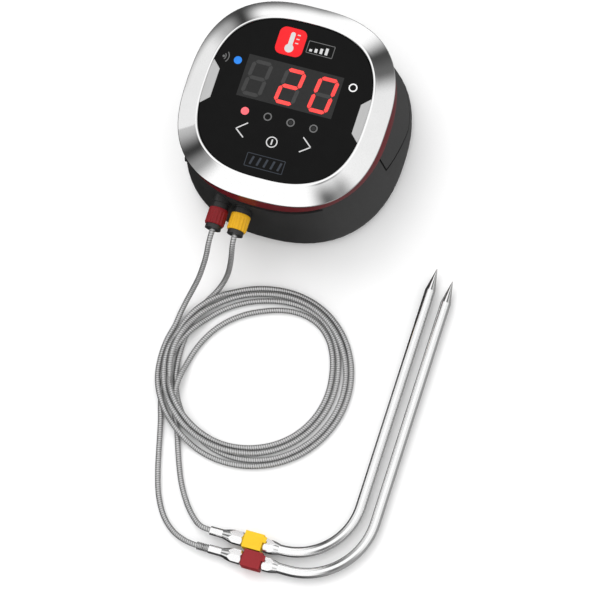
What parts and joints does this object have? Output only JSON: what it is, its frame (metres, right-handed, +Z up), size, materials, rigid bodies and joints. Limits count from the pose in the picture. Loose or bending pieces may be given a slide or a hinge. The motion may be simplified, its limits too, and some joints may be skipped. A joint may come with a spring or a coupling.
{
  "type": "meat thermometer",
  "caption": "Wireless barbecue meat thermometer: tilting display head on a low base, plug-in L-shaped steel probes with braided leads in a loose coil.",
  "frame": {"origin": "centre of the base's underside, on the surface the object stands on", "axes": "+Z up; +X to the right of the display; -Y towards the reader, where the plugs and the probes are"},
  "size_m": [0.0992, 0.1761, 0.0371],
  "materials": {
    "rubber": "matt",
    "black_shell": "fine satin texture",
    "inner_plastic": "matt",
    "screw_steel": "satin",
    "magnet": "nickel plated",
    "circuit_board": "solder mask",
    "shield": "satin",
    "flex": "semi gloss",
    "cell": "printed sleeve, plain",
    "accent_red": "gloss",
    "chrome_bezel": "mirror",
    "display_black": "matt",
    "led": "clear",
    "diffuser": "matt",
    "black_glass": "high gloss",
    "plug_steel": "polished",
    "plug_black": "matt",
    "braid": "fine spiral braid",
    "probe_steel": "polished",
    "sensor_bead": "potted",
    "red_plastic": "satin",
    "yellow_plastic": "satin"
  },
  "bodies": {
    "base": {"foot_pad": "rubber", "bottom_plate": "black_shell", "base_shell": "black_shell", "base_screws": "screw_steel", "base_magnets": "magnet", "probe_board": "circuit_board", "buzzer": "inner_plastic", "radio_module": "shield", "flex_cable": "flex", "jack_red": "inner_plastic", "jack_yellow": "inner_plastic", "jack_three": "inner_plastic", "jack_four": "inner_plastic", "hinge_pin": "screw_steel"},
    "head": {"upper_shell": "black_shell", "battery_cover": "black_shell", "cover_screws": "screw_steel", "battery_tray": "inner_plastic", "battery_one": "cell", "battery_two": "cell", "battery_springs": "screw_steel", "battery_contacts": "screw_steel", "accent_ring": "accent_red", "head_seal": "rubber", "head_screws": "screw_steel", "bezel_ring": "chrome_bezel", "display_board": "circuit_board", "led_display": "display_black", "status_leds": "led", "light_guide": "diffuser", "touch_film": "flex", "touch_panel": "black_glass"},
    "leads": {"plug_pin_red": "plug_steel", "plug_body_red": "plug_black", "plug_cap_red": "plug_black", "plug_pin_yellow": "plug_steel", "plug_body_yellow": "plug_black", "plug_cap_yellow": "plug_black", "lead_red_in": "braid", "lead_red_out": "braid", "lead_yellow_in": "braid", "lead_yellow_out": "braid", "cord_coil": "braid", "kink_spring": "screw_steel", "ferrule_red": "probe_steel", "ferrule_yellow": "probe_steel", "handle_red": "probe_steel", "handle_yellow": "probe_steel", "shaft_red": "probe_steel", "shaft_yellow": "probe_steel", "tip_red": "probe_steel", "tip_yellow": "probe_steel", "sensor_red": "sensor_bead", "sensor_yellow": "sensor_bead"},
    "red_collar": {"collar_red": "red_plastic"},
    "yellow_collar": {"collar_yellow": "yellow_plastic"},
    "red_clip": {"clip_red": "red_plastic"},
    "yellow_clip": {"clip_yellow": "yellow_plastic"}
  },
  "joints": [
    {"name": "head_tilt", "type": "hinge", "parent": "base", "child": "head", "pos_m": [0, -0.0305, 0.0278], "axis": [1, 0, 0], "range_deg": [0, 40]},
    {"name": "plugs_pull", "type": "slide", "parent": "base", "child": "leads", "axis": [0, -1, 0], "range_m": [0, 0.014]},
    {"name": "red_collar_turn", "type": "hinge", "parent": "leads", "child": "red_collar", "pos_m": [-0.0128, -0.0385, 0.022], "axis": [0, -1, 0], "continuous": true},
    {"name": "yellow_collar_turn", "type": "hinge", "parent": "leads", "child": "yellow_collar", "pos_m": [-0.0054, -0.0385, 0.022], "axis": [0, -1, 0], "continuous": true},
    {"name": "red_clip_lift", "type": "slide", "parent": "leads", "child": "red_clip", "axis": [0, 0, 1], "range_m": [0, 0.008]},
    {"name": "yellow_clip_lift", "type": "slide", "parent": "leads", "child": "yellow_clip", "axis": [0, 0, 1], "range_m": [0, 0.008]}
  ]
}
